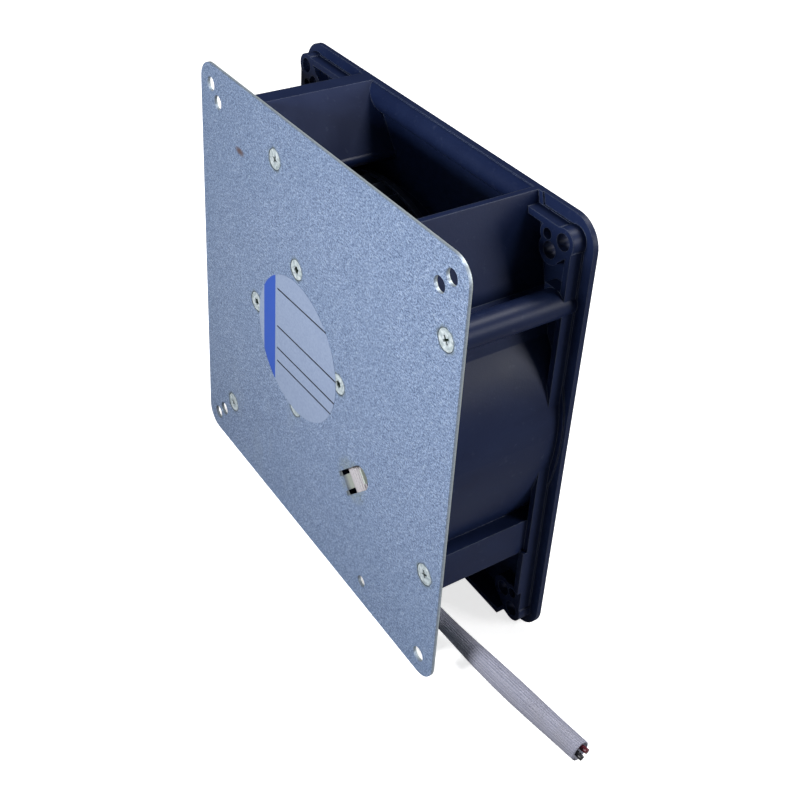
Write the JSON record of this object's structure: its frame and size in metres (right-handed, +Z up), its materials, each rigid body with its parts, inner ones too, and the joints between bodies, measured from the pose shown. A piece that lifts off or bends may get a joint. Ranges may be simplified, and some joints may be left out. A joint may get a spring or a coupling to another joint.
{
  "type": "centrifugal blower",
  "caption": "Compact DC centrifugal blower: square sheet-metal plate, moulded scroll housing with top outlet, rear flange with round inlet and external-rotor wheel.",
  "frame": {"origin": "centre of the bottom edge, midway between the plate's front and the flange's back, on the surface it stands on", "axes": "+X to the right seen from the plate side, +Y from the plate towards the inlet side along the motor axis, +Z up through the outlet"},
  "size_m": [0.1767, 0.0381, 0.135],
  "materials": {
    "galvanised": "galvanised sheet, fine grain",
    "housing_plastic": "moulded, glass filled, satin",
    "label_paper": "matt film",
    "zinc_screw": "bright zinc",
    "wheel_plastic": "moulded, glass filled",
    "ground_steel": "ground",
    "spring_steel": "blued",
    "turned_brass": "turned",
    "pressed_steel": "pressed, zinc",
    "magnet": "bonded ferrite",
    "die_cast": "die cast",
    "bearing_steel": "polished",
    "lamination": "stacked sheet",
    "insulator_plastic": "moulded",
    "enamel_wire": "enamelled copper",
    "board": "laminate",
    "chip": "moulded",
    "capacitor": "moulded",
    "sleeve": "woven glass sleeve",
    "red_lead": "insulation",
    "black_lead": "insulation"
  },
  "bodies": {
    "root": {"base_plate": "galvanised", "housing": "housing_plastic", "label": "label_paper", "housing_screws": "zinc_screw", "motor_screws": "zinc_screw", "motor_flange": "die_cast", "bearing_tube": "turned_brass", "front_bearing": "bearing_steel", "rear_bearing": "bearing_steel", "bearing_spring": "spring_steel", "stator_core": "lamination", "front_insulator": "insulator_plastic", "rear_insulator": "insulator_plastic", "stator_coils": "enamel_wire", "circuit_board": "board", "driver_chips": "chip", "hall_sensor": "chip", "filter_capacitor": "capacitor", "cable_sleeve": "sleeve", "lead_red": "red_lead", "lead_black": "black_lead"},
    "rotor": {"shaft": "ground_steel", "retaining_ring": "spring_steel", "rotor_bush": "turned_brass", "rotor_cup": "pressed_steel", "magnet_ring": "magnet", "impeller": "wheel_plastic"}
  },
  "joints": [
    {"name": "rotor_spin", "type": "hinge", "parent": "root", "child": "rotor", "pos_m": [-0.0088, 0, 0.0683], "axis": [0, -1, 0], "continuous": true}
  ]
}
